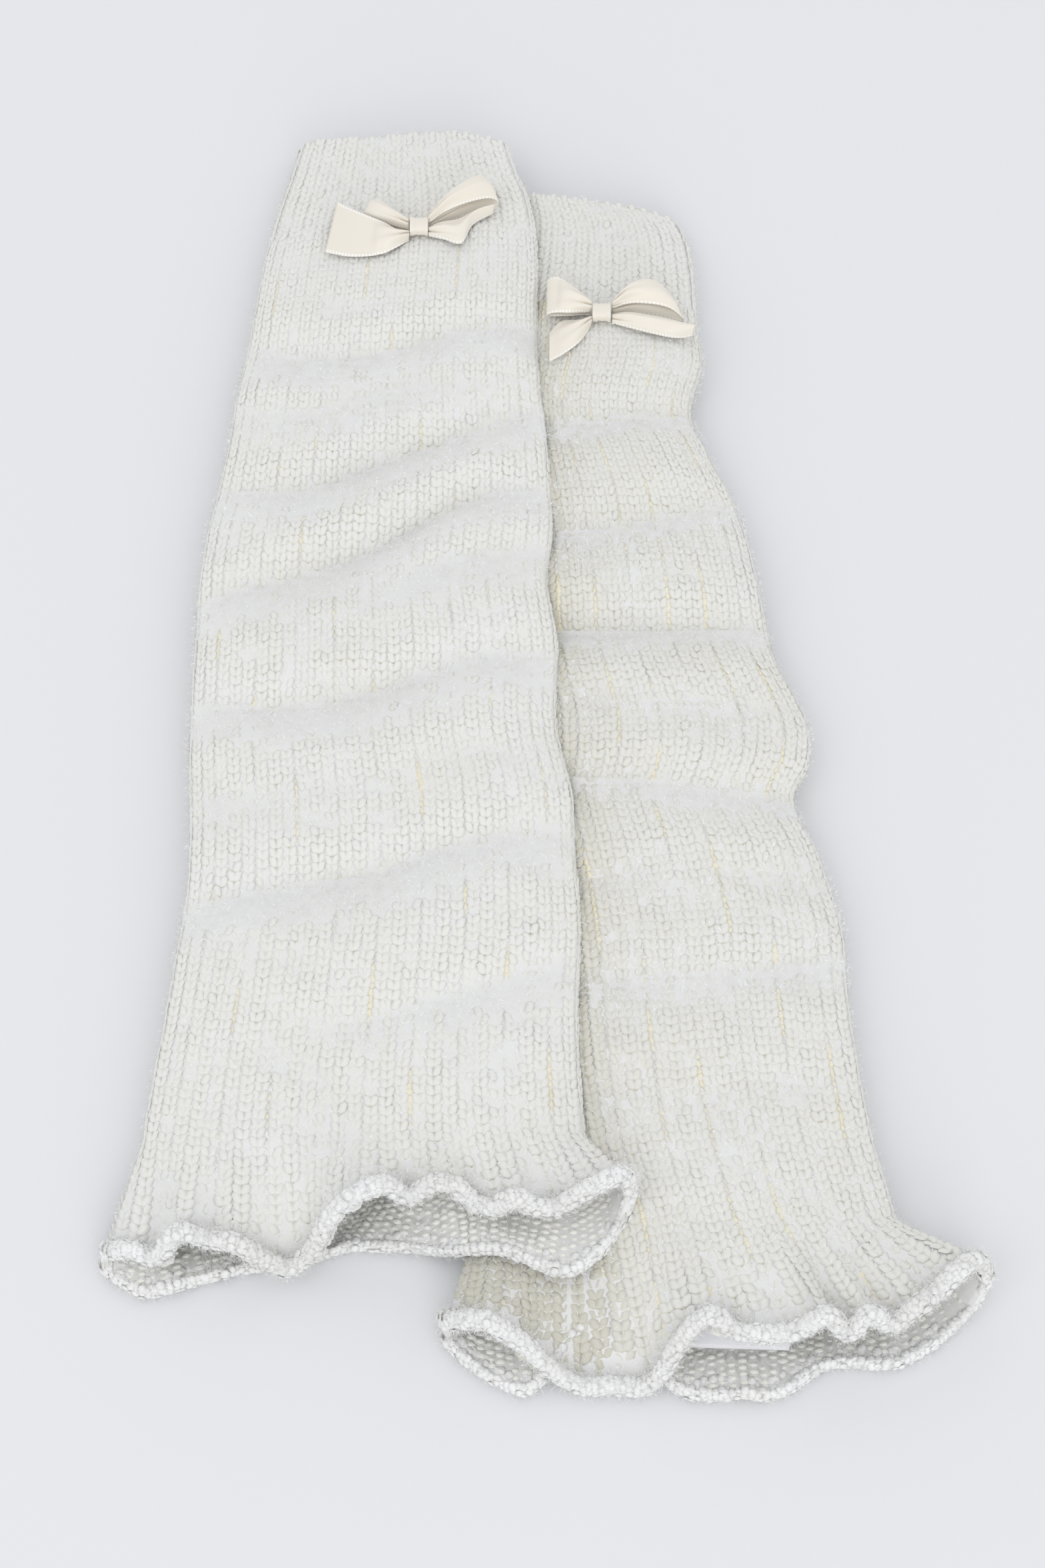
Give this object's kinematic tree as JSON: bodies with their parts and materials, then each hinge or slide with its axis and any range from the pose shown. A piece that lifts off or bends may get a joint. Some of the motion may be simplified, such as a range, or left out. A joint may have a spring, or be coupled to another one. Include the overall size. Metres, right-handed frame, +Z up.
{
  "type": "pair of knitted leg warmers",
  "caption": "Pair of slouchy rib-knit leg warmers with ruffled hems and satin ribbon bows, lying flat, one partly on the other.",
  "frame": {"origin": "centre of the pair's box, at the surface that it lies on", "axes": "+X to the right in the picture, +Y from the ruffled hems towards the cuffs, +Z up"},
  "size_m": [0.2644, 0.465, 0.0298],
  "materials": {
    "knit": "off-white fluffy acrylic rib knit",
    "satin": "cream satin ribbon with a woven edge",
    "label": "bare white woven label"
  },
  "bodies": {
    "root": {"over_cuff_front": "knit", "over_cuff_back": "knit", "over_front": "knit", "over_back": "knit", "over_hem": "knit", "over_bow_loop_l": "satin", "over_bow_loop_r": "satin", "over_bow_tail_l": "satin", "over_bow_tail_r": "satin", "over_bow_knot": "satin", "under_cuff_front": "knit", "under_cuff_back": "knit", "under_front": "knit", "under_back": "knit", "under_hem": "knit", "under_bow_loop_l": "satin", "under_bow_loop_r": "satin", "under_bow_tail_l": "satin", "under_bow_tail_r": "satin", "under_bow_knot": "satin", "under_label": "label"}
  },
  "joints": []
}
